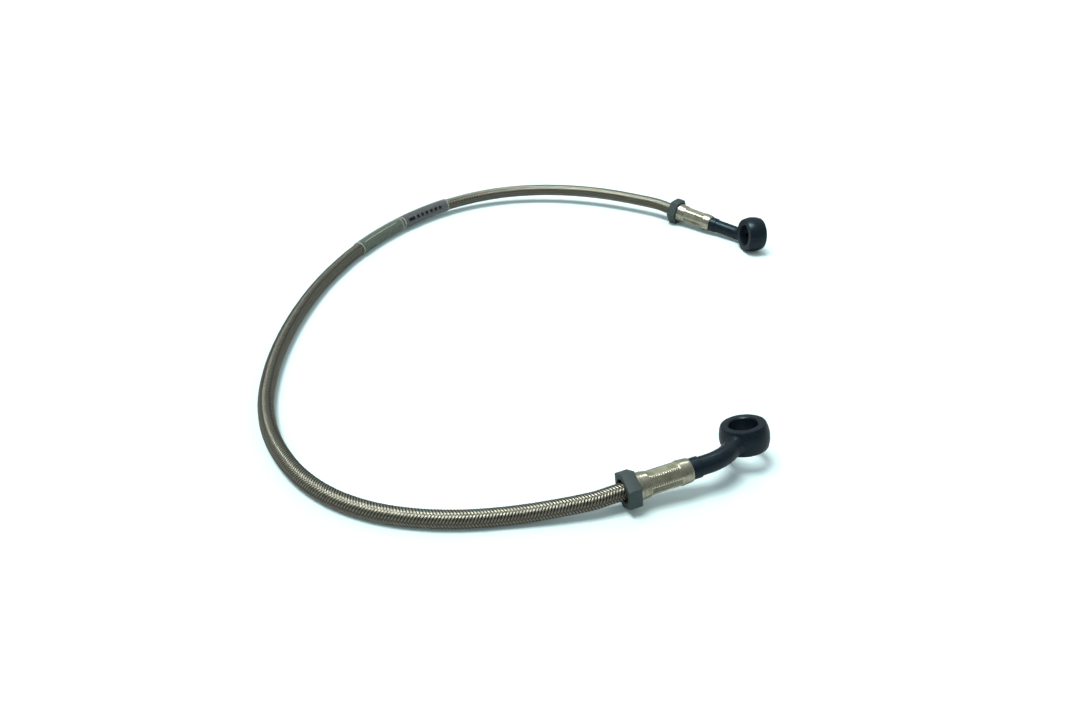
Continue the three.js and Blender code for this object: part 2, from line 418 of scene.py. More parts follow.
class MeshMaker:
    """Makes Blender meshes from tables of points."""

    @staticmethod
    def circle(count: int) -> np.ndarray:
        """Angles of evenly spaced points round a circle, in radians."""
        return np.linspace(0.0, 2 * math.pi, count, endpoint=False)

    @classmethod
    def grid(cls, along: np.ndarray, sides: int) -> tuple[np.ndarray, np.ndarray]:
        """Place along a tube and angle round it at each point of its rings."""
        return tuple(np.meshgrid(along, cls.circle(sides), indexing="ij"))

    @staticmethod
    def about_x(x: np.ndarray, angle: np.ndarray, radius: np.ndarray) -> np.ndarray:
        """Points round the X axis, angle zero on the up side."""
        return np.stack([x, -radius * np.sin(angle), radius * np.cos(angle)], axis=-1)

    @staticmethod
    def shade(mesh: bpy.types.Mesh, sharp: float) -> None:
        """Shades a mesh smooth, but for edges over that angle in degrees."""
        mesh.polygons.foreach_set("use_smooth", [True] * len(mesh.polygons))
        mesh.set_sharp_from_angle(angle=math.radians(sharp))

    @staticmethod
    def carry(made: bpy.types.Object, name: str, values: np.ndarray) -> None:
        """Gives each point of the mesh a value that its finish reads by name."""
        layer = made.data.attributes.new(name, "FLOAT", "POINT")
        layer.data.foreach_set("value", values.ravel().astype(np.float32))

    @classmethod
    def obj(
        cls, name: str, verts: np.ndarray, faces: list[list[int]], sharp: float
    ) -> bpy.types.Object:
        """Object of a mesh with its sharp edges marked.

        Args:
            name: Name of the object.
            verts: Points in millimetres.
            faces: Corners of each face.
            sharp: Angle in degrees over which an edge is sharp.

        Returns:
            The object, linked to the scene.
        """
        mesh = bpy.data.meshes.new(name)
        mesh.from_pydata((verts * MM).tolist(), [], faces)
        mesh.update()
        cls.shade(mesh, sharp)
        return put_in_scene(name, mesh)

    @staticmethod
    def ring_faces(rings: int, around: int, loop: bool, start: int = 0) -> list[list[int]]:
        """Faces of a closed surface through rings of points.

        Args:
            rings: How many rings there are.
            around: Points in each ring.
            loop: Whether the last ring joins the first. If not, both are capped.
            start: Index of the first point.

        Returns:
            Corners of each face.
        """
        faces = []
        for i in range(rings if loop else rings - 1):
            low, high = start + i * around, start + ((i + 1) % rings) * around
            for j in range(around):
                k = (j + 1) % around
                faces.append([low + j, low + k, high + k, high + j])
        if not loop:
            last = start + (rings - 1) * around
            faces.append(list(range(start, start + around))[::-1])
            faces.append(list(range(last, last + around)))
        return faces

    @classmethod
    def solid(
        cls, name: str, rings: np.ndarray, sharp: float, loop: bool = True
    ) -> bpy.types.Object:
        """Closed solid through rings of points, with its faces turned out.

        Args:
            name: Name of the object.
            rings: Points in millimetres, one row for each ring.
            sharp: Angle in degrees over which an edge is sharp.
            loop: Whether the last ring joins the first. If not, both are capped.

        Returns:
            The solid.
        """
        faces = cls.ring_faces(*rings.shape[:2], loop)
        made = cls.obj(name, rings.reshape(-1, 3), faces, sharp)
        mesh = made.data
        mesh.calc_loop_triangles()
        co = np.array([v.co for v in mesh.vertices])
        tri = np.array([t.vertices for t in mesh.loop_triangles])
        a, b, c = co[tri[:, 0]], co[tri[:, 1]], co[tri[:, 2]]
        if np.einsum("ij,ij->i", a, np.cross(b, c)).sum() < 0:
            mesh.flip_normals()
        return made

    @staticmethod
    def place(made: bpy.types.Object, matrix_mm: Matrix) -> bpy.types.Object:
        """Moves the mesh itself.

        Args:
            made: Object of the mesh.
            matrix_mm: Where its frame goes.

        Returns:
            The same object.
        """
        scaled = Matrix.Scale(MM, 4) @ matrix_mm @ Matrix.Scale(1 / MM, 4)
        made.data.transform(scaled)
        made.data.update()
        return made

    @staticmethod
    def boolean(base: bpy.types.Object, tool: bpy.types.Object, how: str) -> None:
        """Joins or cuts the base by the tool, which is then gone.

        Args:
            base: Object that is changed.
            tool: Closed object that it is joined with or cut by.
            how: UNION or DIFFERENCE.
        """
        modifier = base.modifiers.new(how.lower(), "BOOLEAN")
        modifier.operation = how
        modifier.solver = "EXACT"
        modifier.object = tool
        graph = bpy.context.evaluated_depsgraph_get()
        mesh = bpy.data.meshes.new_from_object(base.evaluated_get(graph))
        base.modifiers.clear()
        old = base.data
        base.data = mesh
        bpy.data.meshes.remove(old)
        bpy.data.objects.remove(tool)
        mesh.name = base.name


# Finishes


class Graph:
    """Short way to the nodes of one material or world."""

    def __init__(self, owner: bpy.types.Material | bpy.types.World) -> None:
        """Opens the nodes of a material or world.

        Args:
            owner: What the nodes belong to.
        """
        owner.use_nodes = True
        self.nodes = owner.node_tree.nodes
        self.links = owner.node_tree.links

    def add(self, kind: str, **values: object) -> bpy.types.Node:
        """Makes a node.

        Args:
            kind: Type of the node.
            **values: Settings of the node.

        Returns:
            The node.
        """
        node = self.nodes.new(kind)
        for key, value in values.items():
            setattr(node, key, value)
        return node

    def feed(self, target: Socket, value: Socket | Rgb | float) -> None:
        """Links a socket to another one or sets it.

        Args:
            target: Socket that is fed.
            value: Another socket, a colour or a number.
        """
        if isinstance(value, bpy.types.NodeSocket):
            self.links.new(value, target)
        else:
            target.default_value = (*value, 1.0) if isinstance(value, tuple) else value

    def remap(self, value: Socket, span: Span) -> Socket:
        """Takes a value from one range to another.

        Args:
            value: Value to take.
            span: Ends of the first range, then those of the second.

        Returns:
            The value in the second range.
        """
        node = self.add("ShaderNodeMapRange")
        for key, number in zip(("From Min", "From Max", "To Min", "To Max"), span):
            node.inputs[key].default_value = number
        self.feed(node.inputs["Value"], value)
        return node.outputs["Result"]

    def math(self, how: str, a: Socket, b: Socket | float) -> Socket:
        """Works out one value from two.

        Args:
            how: What is done with them.
            a: First value.
            b: Second value.

        Returns:
            The result.
        """
        node = self.add("ShaderNodeMath", operation=how)
        self.feed(node.inputs[0], a)
        self.feed(node.inputs[1], b)
        return node.outputs[0]

    def blend(self, amount: Socket, low: Socket | Rgb, high: Socket | Rgb) -> Socket:
        """Mixes two colours.

        Args:
            amount: Zero for the first colour, one for the second.
            low: First colour.
            high: Second colour.

        Returns:
            The colour between them.
        """
        node = self.add("ShaderNodeMix", data_type="RGBA")
        self.feed(node.inputs["Factor"], amount)
        for key, value in (("A", low), ("B", high)):
            self.feed([s for s in node.inputs if s.name == key and s.type == "RGBA"][0], value)
        return [s for s in node.outputs if s.type == "RGBA"][0]

    def mix(self, amount: Socket | float, low: Socket, high: Socket) -> Socket:
        """Mixes two shaders.

        Args:
            amount: Zero for the first shader, one for the second.
            low: First shader.
            high: Second shader.

        Returns:
            The shader between them.
        """
        node = self.add("ShaderNodeMixShader")
        for socket, value in zip(node.inputs, (amount, low, high)):
            self.feed(socket, value)
        return node.outputs[0]


@dataclass(frozen=True)
class Cloud:
    """Soft patches: waves per metre and the two values that they lie between.

    noise_low and noise_high are where the noise has come to these values.
    """

    scale: float
    low: float = 0.0
    high: float = 1.0
    detail: float = 2.0
    rough: float = 0.5
    noise_low: float = 0.3
    noise_high: float = 0.7


@dataclass(frozen=True)
class Grain:
    """Fine relief: waves per metre, depth in millimetres and how strong it is."""

    scale: float
    depth_mm: float
    strength: float
    detail: float = 3.0
    rough: float = 0.6


class Coat(Graph):
    """Nodes of one material, with noise and relief in the row frame."""

    def __init__(self, name: str) -> None:
        """Starts a material with one shader.

        Args:
            name: Name of the material.
        """
        self.material = bpy.data.materials.new(name)
        super().__init__(self.material)
        self.shader = self.nodes["Principled BSDF"]
        self.coords = self.add("ShaderNodeTexCoord")

    def dress(self, **values: Socket | Rgb | float) -> None:
        """Feeds the shader's sockets, an underscore for a space in their names."""
        for key, value in values.items():
            self.feed(self.shader.inputs[key.replace("_", " ")], value)

    def attribute(self, name: str) -> Socket:
        """Value that the mesh carries under that name."""
        return self.add("ShaderNodeAttribute", attribute_name=name).outputs["Fac"]

    def noise(self, scale: float, detail: float, rough: float) -> Socket:
        """Makes noise.

        Args:
            scale: Waves per metre.
            detail: How many finer layers it has.
            rough: How strong the finer layers are.

        Returns:
            The noise, from zero to one.
        """
        node = self.add("ShaderNodeTexNoise")
        self.feed(node.inputs["Vector"], self.coords.outputs["Object"])
        self.feed(node.inputs["Scale"], scale)
        self.feed(node.inputs["Detail"], detail)
        self.feed(node.inputs["Roughness"], rough)
        return node.outputs["Fac"]

    def cloud(self, cloud: Cloud) -> Socket:
        """Value that changes in patches over the surface."""
        noise = self.noise(cloud.scale, cloud.detail, cloud.rough)
        return self.remap(noise, (cloud.noise_low, cloud.noise_high, cloud.low, cloud.high))

    def bump(self, height: Socket, depth_mm: float, strength: float) -> None:
        """Puts a relief on the shader.

        Args:
            height: Height of the relief, from zero to one.
            depth_mm: Depth that one stands for, in millimetres.
            strength: How much of the relief is used.
        """
        node = self.add("ShaderNodeBump")
        self.feed(node.inputs["Distance"], depth_mm * MM)
        self.feed(node.inputs["Strength"], strength)
        self.feed(node.inputs["Height"], height)
        self.dress(Normal=node.outputs["Normal"])

    def roughen(self, grain: Grain) -> None:
        """Puts a grain on the shader."""
        height = self.noise(grain.scale, grain.detail, grain.rough)
        self.bump(height, grain.depth_mm, grain.strength)


@dataclass(frozen=True)
class BraidSteel:
    """Bare stainless wire in its own colour on the crowns, with painted shade in the crossings.

    lift_span is the height of a strand that is fully in painted shade and
    fully in its own colour.
    wires is how many wires lie side by side in a strand, with grooves between.
    """

    crown: Rgb = (0.425, 0.432, 0.345)
    painted_shade: Rgb = (0.038, 0.039, 0.031)
    wear: Cloud = Cloud(900.0, 0.75, 1.0)
    roughness: Cloud = Cloud(400.0, 0.30, 0.44)
    lift_span: tuple[float, float] = (-0.4, 0.85)
    edge_shade: float = 0.25
    wires: int = 4
    groove_mm: float = 0.03
    groove_strength: float = 0.35

    def build(self) -> bpy.types.Material:
        """Makes the material of the strands.

        Returns:
            The material.
        """
        g = Coat("braid_steel")
        # Painted shade: strands darken where they dip under others, on their undersides and
        # towards their edges; the wear cloud varies the tone at random.
        lift = g.remap(g.attribute("lift"), (*self.lift_span, 0.0, 1.0))
        across = g.attribute("across")
        off_middle = g.math("MULTIPLY", across, across)
        edge = g.remap(off_middle, (0.1, 1.0, 1.0, self.edge_shade))
        shade = g.math("MULTIPLY", g.math("MULTIPLY", lift, edge), g.cloud(self.wear))
        g.dress(Base_Color=g.blend(shade, self.painted_shade, self.crown), Metallic=1.0)
        g.dress(Roughness=g.cloud(self.roughness))
        wave = g.math("MULTIPLY", across, math.pi * self.wires)
        g.bump(g.math("COSINE", wave, 0.0), self.groove_mm, self.groove_strength)
        return g.material


@dataclass(frozen=True)
class ShadeBed:
    """Dark tube under the strands, painted shade seen between them."""

    color: Rgb = (0.026, 0.026, 0.023)
    deep: float = 0.5
    patches: Cloud = Cloud(1500.0)
    roughness: float = 0.8

    def build(self) -> bpy.types.Material:
        """Makes the material of the dark tube under the strands, painted shade.

        Returns:
            The material.
        """
        g = Coat("braid_shade_bed")
        dark = tuple(self.deep * c for c in self.color)
        tone = g.blend(g.cloud(self.patches), dark, self.color)
        g.dress(Base_Color=tone, Roughness=self.roughness)
        return g.material


@dataclass(frozen=True)
class NickelPlate:
    """Bright nickel plate with a champagne tint, polished on its ridges by the dies.

    The mesh carries a value for each point: over zero towards a bright colour
    that is partly polish and partly painted highlight, and towards polish; under
    zero towards painted shade. polish is the share of the satin's roughness that
    is left where the value is polished_at or more.
    """

    color: Rgb = (0.34, 0.35, 0.255)
    dull: Rgb = (0.215, 0.222, 0.158)
    # bright is partly polish and partly a painted highlight on the ridges; shade is painted shade
    # between the dies' ticks.
    bright: Rgb = (0.88, 0.88, 0.70)
    shade: Rgb = (0.03, 0.03, 0.022)
    worn: Cloud = Cloud(350.0, detail=4.0, rough=0.6, noise_low=0.35, noise_high=0.65)
    satin: Cloud = Cloud(700.0, 0.60, 0.48, detail=3.0)
    polish: float = 0.3846
    polished_at: float = 0.4
    metallic: float = 0.9
    grain: Grain = Grain(1400.0, 0.05, 0.4)

    def build(self) -> bpy.types.Material:
        """Makes the material of the ferrules.

        Returns:
            The material.
        """
        g = Coat("nickel_plate")
        polish_and_painted_light = g.attribute("polish_and_painted_light")
        plate = g.blend(g.cloud(self.worn), self.dull, self.color)
        # shiny paints a highlight on the polished ridges; below zero the colour goes to painted
        # shade.
        shiny = g.blend(g.math("MAXIMUM", polish_and_painted_light, 0.0), plate, self.bright)
        painted_shade = g.math("MAXIMUM", g.math("MULTIPLY", polish_and_painted_light, -1.0), 0.0)
        shine = g.remap(polish_and_painted_light, (0.0, self.polished_at, 1.0, self.polish))
        g.dress(Base_Color=g.blend(painted_shade, shiny, self.shade), Metallic=self.metallic)
        g.dress(Roughness=g.math("MULTIPLY", g.cloud(self.satin), shine))
        g.roughen(self.grain)
        return g.material


@dataclass(frozen=True)
class SatinBlack:
    """Blue-black plated steel with a fine blasted grain."""

    color: Rgb = (0.0045, 0.0090, 0.0125)
    pale: Rgb = (0.0065, 0.0120, 0.0165)
    mirror: Rgb = (0.58, 0.87, 1.0)
    patches: Cloud = Cloud(220.0, detail=3.0)
    roughness: Cloud = Cloud(500.0, 0.26, 0.38)
    ior: float = 1.42
    grain: Grain = Grain(2600.0, 0.02, 0.12)

    def build(self) -> bpy.types.Material:
        """Makes the material of the banjos.

        Returns:
            The material.
        """
        g = Coat("satin_black")
        tone = g.blend(g.cloud(self.patches), self.color, self.pale)
        g.dress(Base_Color=tone, Roughness=g.cloud(self.roughness))
        g.dress(IOR=self.ior, Specular_Tint=self.mirror)
        g.roughen(self.grain)
        return g.material


@dataclass(frozen=True)
class SlatePlastic:
    """Matte grey-green moulded plastic."""

    color: Rgb = (0.027, 0.046, 0.046)
    pale: Rgb = (0.035, 0.057, 0.056)
    patches: Cloud = Cloud(300.0, detail=4.0)
    roughness: float = 0.6
    grain: Grain = Grain(1800.0, 0.03, 0.3)

    def build(self) -> bpy.types.Material:
        """Makes the material of the collars.

        Returns:
            The material.
        """
        g = Coat("slate_plastic")
        tone = g.blend(g.cloud(self.patches), self.color, self.pale)
        g.dress(Base_Color=tone, Roughness=self.roughness)
        g.roughen(self.grain)
        return g.material


@dataclass(frozen=True)
class WhiteLiner:
    """White fluoropolymer of the inner hose."""

    color: Rgb = (0.80, 0.80, 0.78)
    dim: float = 0.93
    patches: Cloud = Cloud(200.0)
    roughness: float = 0.45

    def build(self) -> bpy.types.Material:
        """Makes the material of the liner.

        Returns:
            The material.
        """
        g = Coat("white_liner")
        dim = tuple(self.dim * c for c in self.color)
        tone = g.blend(g.cloud(self.patches), dim, self.color)
        g.dress(Base_Color=tone, Roughness=self.roughness)
        return g.material


@dataclass(frozen=True)
class SleeveFilm:
    """Clear shrunk film, a little cloudy, with pale rims and a stripe along it.

    thin is the share of the film's colour that is left where it is thinnest.
    The stripe is dark print on the marked film and a painted highlight on the
    clear one.
    """

    name: str
    film: Rgb
    alpha: float
    stripe: Rgb
    stripe_alpha: float
    rim: Rgb = (0.50, 0.54, 0.50)
    rim_alpha: float = 0.7
    thin: float = 0.8
    cloud: Cloud = Cloud(260.0, 0.85, 1.0, detail=3.0)
    roughness: float = 0.22
    ior: float = 1.45
    ripple: Grain = Grain(150.0, 0.06, 0.4, detail=2.0, rough=0.5)

    def build(self) -> bpy.types.Material:
        """Makes the material of one sleeve.

        Returns:
            The material.
        """
        g = Coat(self.name)
        stripe, rim = g.attribute("stripe"), g.attribute("rim")
        cloud = g.cloud(self.cloud)
        film = g.blend(cloud, tuple(self.thin * c for c in self.film), self.film)
        color = g.blend(rim, g.blend(stripe, film, self.stripe), self.rim)
        cover = g.remap(stripe, (0.0, 1.0, self.alpha, self.stripe_alpha))
        rimmed = g.math("MULTIPLY", rim, self.rim_alpha)
        alpha = g.math("MAXIMUM", g.math("MULTIPLY", cover, cloud), rimmed)
        g.dress(Base_Color=color, Alpha=alpha, Roughness=self.roughness, IOR=self.ior)
        g.roughen(self.ripple)
        return g.material


# Pieces


class Hand(Enum):
    """Way a strand winds round the hose."""

    RIGHT = 1
    LEFT = -1


@dataclass
class BraidedHose:
    """Braid of flat strands, nine each way, each over three and under three."""

    path: HosePath
    sizes: HoseSizes = field(default_factory=HoseSizes)
    strands: int = 9
    lay: float = 9.45
    width: float = 0.72
    thickness: float = 0.14
    dip: float = 0.27
    edge_drop: float = 0.11
    row_turn: float = -75.0
    snap: float = 1.4
    under_width: float = 0.9
    under_shade: float = 0.8
    sharp: float = 80.0
    bed_radius: float = 2.58
    bed_rings: int = 120
    bed_sides: int = 12

    def strand(self, hand: Hand, index: int) -> tuple[np.ndarray, np.ndarray, np.ndarray]:
        """One strand as rings of five points.

        Args:
            hand: Which way it winds.
            index: Its number among its own way's strands.

        Returns:
            Rings of points, the lift and the place across at each point.
        """
        way = hand.value
        step = self.lay / (2 * self.strands)
        crossing = np.arange(int(self.path.length / step) + 1)
        s = crossing * step
        turn = math.radians(self.row_turn) + 2 * math.pi * index / self.strands
        angle = way * 2 * math.pi * s / self.lay + turn
        phase = (2 * index + way * crossing - 1) * math.pi / 3
        lift = way * np.tanh(self.snap * np.cos(phase)) / math.tanh(self.snap)
        crown = self.sizes.radius - self.dip * (1 - lift) / 2
        lean = math.atan2(2 * math.pi * self.sizes.radius, self.lay)
        half = self.width / 2
        section = (
            (-half, self.edge_drop, -1.0),
            (0.0, 0.0, 0.0),
            (half, self.edge_drop, 1.0),
            (half * self.under_width, self.thickness + self.edge_drop, 1.0),
            (-half * self.under_width, self.thickness + self.edge_drop, -1.0),
        )
        points, lifts, across = [], [], []
        for offset, drop, place in section:
            radius = crown - drop
            along = s - way * math.sin(lean) * offset
            around = angle + math.cos(lean) * offset / self.sizes.radius
            points.append(self.path.wrap(along, around, radius))
            # Each strand's underside gets a lower lift, which its finish paints as shade.
            lifts.append(lift - (self.under_shade if drop > self.thickness else 0.0))
            across.append(np.full(len(s), place))
        return tuple(np.stack(a, axis=1) for a in (points, lifts, across))

    def bed(self) -> np.ndarray:
        """Dark inner tube that the strands lie on, as rings; it is painted shade between them.

        Returns:
            Rings of points, out along the outside and back through the bore.
        """
        s = np.linspace(0.0, self.path.length, self.bed_rings)
        grid_s, grid_angle = MeshMaker.grid(s, self.bed_sides)
        rings = []
        for radius, order in ((self.bed_radius, 1), (self.sizes.braid_bore, -1)):
            ring = self.path.wrap(grid_s, grid_angle, np.full(grid_s.shape, radius))
            rings.append(ring[::order])
        return np.concatenate(rings)

    def build(
        self, strand_finish: bpy.types.Material, shade_finish: bpy.types.Material
    ) -> bpy.types.Object:
        """Makes the braid as one mesh.

        Args:
            strand_finish: Material of the strands.
            shade_finish: Material of the dark tube under them, painted shade.

        Returns:
            The braid.
        """
        verts, lifts, places = [], [], []
        faces, start = [], 0
        for hand in Hand:
            for index in range(self.strands):
                rings, lift, across = self.strand(hand, index)
                count, around = rings.shape[:2]
                faces += MeshMaker.ring_faces(count, around, loop=False, start=start)
                verts.append(rings.reshape(-1, 3))
                lifts.append(lift.ravel())
                places.append(across.ravel())
                start += count * around
        strand_faces = len(faces)
        # The bed is a dark tube whose colour is painted shade seen between the strands.
        bed = self.bed()
        faces += MeshMaker.ring_faces(*bed.shape[:2], loop=True, start=start)
        verts.append(bed.reshape(-1, 3))
        middle = np.zeros(bed.shape[0] * bed.shape[1])
        braid = MeshMaker.obj("braided_hose", np.concatenate(verts), faces, self.sharp)
        # lift and across carry where the strands' finish paints shade.
        MeshMaker.carry(braid, "lift", np.concatenate([*lifts, middle]))
        MeshMaker.carry(braid, "across", np.concatenate([*places, middle]))
        mesh = braid.data
        mesh.materials.append(strand_finish)
        mesh.materials.append(shade_finish)
        slots = np.zeros(len(mesh.polygons), np.int32)
        slots[strand_faces:] = 1
        mesh.polygons.foreach_set("material_index", slots)
        mesh.update()
        return braid


@dataclass
class ClearSleeve:
    """Thin clear sleeve shrunk on the hose, with a stripe along it.

    The film waves a little away from its ends, and its edges are rounded off.
    The stripe lies between two angles round the hose, in degrees. Without a
    mark_pitch it is one pale line along the film, a painted highlight. With one
    it is a row of plain marks, the first of them longer, counted from the
    sleeve's far end.
    """

    name: str
    path: HosePath
    start: float
    length: float
    stripe: tuple[float, float]
    mark_pitch: float | None = None
    first_mark: float = 1.4
    stripe_from: float = 4.5
    stripe_to_end: float = 3.0
    inner: float = 3.25
    wall: float = 0.25
    rim: float = 0.5
    edge_round: float = 0.08
    wave: float = 0.03
    sides: int = 48
    steps: int = 110
    sharp: float = 35.0

    def striped(self, s: np.ndarray, angle: np.ndarray) -> np.ndarray:
        """Tells which points lie in the stripe.

        Args:
            s: Place along the sleeve.
            angle: Angle round the hose, in radians.

        Returns:
            One in the stripe and zero beside it.
        """
        low, high = self.stripe
        degrees = np.degrees(angle) % 360
        to_go = self.length - self.stripe_to_end - s
        inside = (degrees > low) & (degrees < high) & (to_go > 0.0) & (s > self.stripe_from)
        if self.mark_pitch is not None:
            place = to_go / self.mark_pitch
            inside &= (place % 1.0 < 0.5) | (place < self.first_mark)
        return inside.astype(float)

    def build(self, finish: bpy.types.Material) -> bpy.types.Object:
        """Makes the sleeve with its rims and stripe marked on the mesh.

        Args:
            finish: Film of this sleeve.

        Returns:
            The sleeve.
        """
        ends = np.array([0.0, 0.12, self.rim, self.rim + 0.3])
        middle = np.linspace(self.rim + 0.8, self.length - self.rim - 0.8, self.steps)
        at = np.concatenate([ends, middle, self.length - ends[::-1]])
        grid_s, grid_angle = MeshMaker.grid(at, self.sides)
        outer = self.inner + self.wall
        from_end = np.minimum(grid_s, self.length - grid_s)
        at_edge = (at == 0.0) | (at == self.length)
        round_off = np.where(at_edge, self.edge_round, 0.0)[:, None]
        wave = self.wave * np.sin(grid_s * 0.9) * np.sin(grid_angle * 2 + grid_s * 0.15)
        away = np.clip((from_end - 1.0) / 2.0, 0.0, 1.0)
        along = self.start + grid_s
        skin = self.path.wrap(along, grid_angle, outer - round_off + wave * away)
        bore = self.path.wrap(along, grid_angle, np.full(grid_s.shape, self.inner))
        sleeve = MeshMaker.solid(self.name, np.concatenate([skin, bore[::-1]]), self.sharp)
        near_end = np.clip(1.5 - from_end / self.rim, 0.0, 1.0)
        MeshMaker.carry(sleeve, "rim", np.concatenate([near_end, near_end[::-1]]))
        stripe = self.striped(grid_s, grid_angle)
        MeshMaker.carry(sleeve, "stripe", np.concatenate([stripe, np.zeros_like(stripe)]))
        sleeve.data.materials.append(finish)
        return sleeve


@dataclass
class CrimpFerrule:
    """Shell crimped by eight dies, with the dies' ticks on its ridges.

    The fields in degrees say how far from a ridge its plate is polished and
    given a painted highlight, how far the painted shade between its ticks
    reaches, and over how much both fade out.
    """

    end: EndLayout
    sizes: FerruleSizes = field(default_factory=FerruleSizes)
    around: int = 176
    polish_highlight_degrees: float = 5.5
    tick_shade_degrees: float = 2.0
    fade_degrees: float = 2.5
    tick_shade: float = 1.8
    scuff: float = 0.34
    scuff_swing: float = 0.16
    sharp: float = 40.0

    def base_radius(self, x: np.ndarray) -> np.ndarray:
        """Radius of the shell before crimping.

        Args:
            x: Place along the shell.

        Returns:
            Radius at each place.
        """
        z = self.sizes
        knots = (
            (z.start, z.mouth_radius - 0.12),
            (z.start + 0.12, z.mouth_radius),
            (z.start + z.mouth_land, z.mouth_radius),
            (z.start + z.mouth_land + 0.6, z.mouth_radius - 0.08),
            (z.start + z.mouth_land + 0.3 * z.flare_length, z.mouth_radius - 0.25),
            (z.flare_end - 0.2 * z.flare_length, z.radius + 0.12),
            (z.flare_end, z.radius),
            (z.crimp_end, z.radius),
            (z.crimp_end + 0.7, z.radius + 0.04),
            (z.end - 0.9, z.radius - 0.16),
            (z.end - 0.35, z.tip_radius),
            (z.end - 0.08, z.tip_radius - 0.2),
            (z.end, z.tip_radius - 0.4),
        )
        at, radius = zip(*knots)
        return np.interp(x, at, radius)

    def from_ridge(self, angle: np.ndarray) -> np.ndarray:
        """Angle to the nearest ridge between two dies.

        Args:
            angle: Angle from the up side, in radians.

        Returns:
            Angle in radians, never less than zero.
        """
        pitch = 2 * math.pi / self.sizes.flats
        turned = angle - math.radians(self.end.crimp_turn)
        return np.abs((turned + pitch / 2) % pitch - pitch / 2)

    def skin(self, x: np.ndarray, angle: np.ndarray) -> np.ndarray:
        """Radius of the crimped shell.

        Args:
            x: Place along the shell.
            angle: Angle from the up side, in radians.

        Returns:
            Radius at each point.
        """
        z = self.sizes
        base = self.base_radius(x)
        off = self.from_ridge(angle)
        flat = z.flat_reach / np.cos(math.pi / z.flats - off)
        enter = np.clip((x - z.flare_end + z.die_edge) / (2 * z.die_edge), 0.0, 1.0)
        leave = np.clip((z.crimp_end + z.die_edge - x) / (2 * z.die_edge), 0.0, 1.0)
        pressed = enter * leave
        depth = np.maximum(base - flat, 0.0) * pressed
        ridge = np.clip(1.0 - off / math.radians(z.ridge_spread), 0.0, 1.0)
        tick = 0.5 + 0.5 * np.cos(2 * math.pi * x / z.tick_pitch)
        dent = z.dent * np.sin(angle * 3 + x * 0.7) * pressed
        return base - depth - ridge * pressed * z.tick_height * tick - dent

    def polish_and_painted_light(self, x: np.ndarray, angle: np.ndarray) -> np.ndarray:
        """How far the dies and handling have polished the plate, with a painted
        highlight on the ridges and painted shade between their ticks.

        Args:
            x: Place along the shell.
            angle: Angle from the up side, in radians.

        Returns:
            One on the ridges, less than zero between their ticks where shade is
            painted, zero on the flats.
        """
        z = self.sizes
        off = np.degrees(self.from_ridge(angle))
        ridge = np.clip(1.0 - (off - self.polish_highlight_degrees) / self.fade_degrees, 0.0, 1.0)
        ticked = np.clip(1.0 - (off - self.tick_shade_degrees) / self.fade_degrees, 0.0, 1.0)
        tick = np.cos(2 * math.pi * x / z.tick_pitch)
        # Between the ticks the value drops below zero, where the finish paints shade.
        marks = ridge * (1.0 - ticked * (0.5 - 0.5 * tick) * self.tick_shade)
        pressed = (x > z.flare_end - 0.1) & (x < z.crimp_end + 0.1)
        swing = np.sin(5 * angle + 1.3 * x) * np.sin(3 * angle - 2.1 * x)
        return np.where(pressed, marks, self.scuff + self.scuff_swing * swing)

    def build(self, finish: bpy.types.Material) -> bpy.types.Object:
        """Makes the ferrule in its place.

        Args:
            finish: Plate of the shell.

        Returns:
            The ferrule.
        """
        z = self.sizes
        fine = np.arange(z.flare_end - 0.6, z.crimp_end + 0.6, z.tick_pitch / 5)
        mouth = np.linspace(z.start, z.flare_end - 0.8, 20)
        tip = np.array([0.8, 1.4, 2.2, z.end - z.crimp_end - 0.9]) + z.crimp_end
        lip = z.end - np.array([0.6, 0.35, 0.2, 0.08, 0.0])
        x = np.concatenate([mouth, [z.start + 0.12], fine, tip, lip])
        x = np.unique(np.round(x, 4))
        grid_x, grid_angle = MeshMaker.grid(x, self.around)
        skin = MeshMaker.about_x(grid_x, grid_angle, self.skin(grid_x, grid_angle))
        inside = (
            (z.end, z.lip_bore),
            (z.end - z.lip, z.lip_bore),
            (z.end - z.lip, z.bore),
            (z.flare_end, z.bore),
            (z.start + z.mouth_land / 2, z.bore + z.mouth_bell),
            (z.start, z.bore + z.mouth_bell),
        )
        at, radius = (np.array(values) for values in zip(*inside))
        bore_x, bore_angle = MeshMaker.grid(at, self.around)
        bore = MeshMaker.about_x(bore_x, bore_angle, radius[:, None])
        name = f"{self.end.name}_crimped_shell"
        ferrule = MeshMaker.solid(name, np.concatenate([skin, bore]), self.sharp)
        # Polish and painted highlight on the ridges, painted shade between their ticks.
        polish_and_painted_light = self.polish_and_painted_light(grid_x, grid_angle)
        MeshMaker.carry(ferrule, "polish_and_painted_light", np.concatenate([polish_and_painted_light, np.zeros_like(bore_x)]))
        ferrule.data.materials.append(finish)
        return MeshMaker.place(ferrule, self.end.crimp_matrix())


